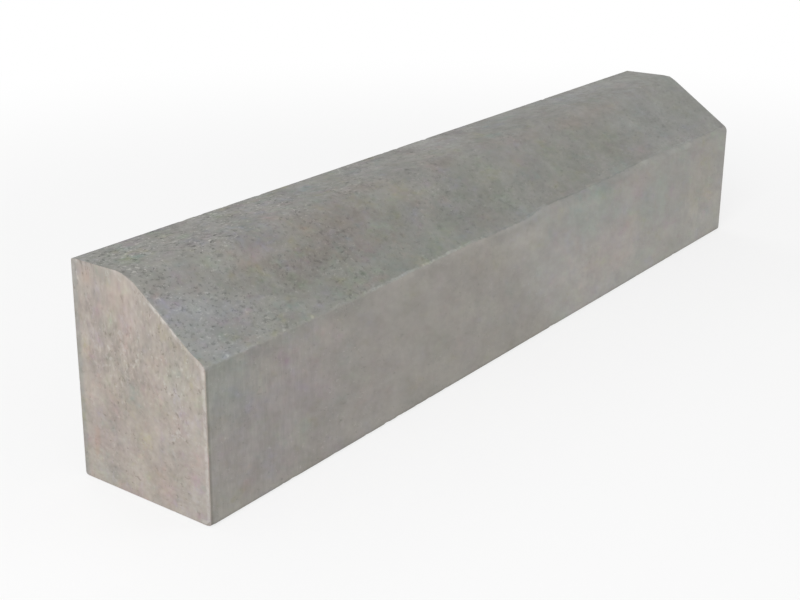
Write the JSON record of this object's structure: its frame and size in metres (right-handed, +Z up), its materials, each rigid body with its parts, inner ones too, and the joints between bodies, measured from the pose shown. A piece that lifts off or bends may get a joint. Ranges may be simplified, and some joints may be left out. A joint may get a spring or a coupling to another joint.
{
  "type": "concrete kerb stone",
  "caption": "Straight cast concrete kerb stone with a level top along the back, a splay falling towards the road and an upright front face.",
  "frame": {"origin": "middle of the base, on the surface the stone lies on", "axes": "+X along the stone's length, -Y out of the front face towards the road, +Y out of the back face towards the footpath, +Z up"},
  "size_m": [1, 0.15, 0.2],
  "materials": {
    "concrete": "matte"
  },
  "bodies": {
    "root": {"kerb_stone": "concrete"}
  },
  "joints": []
}
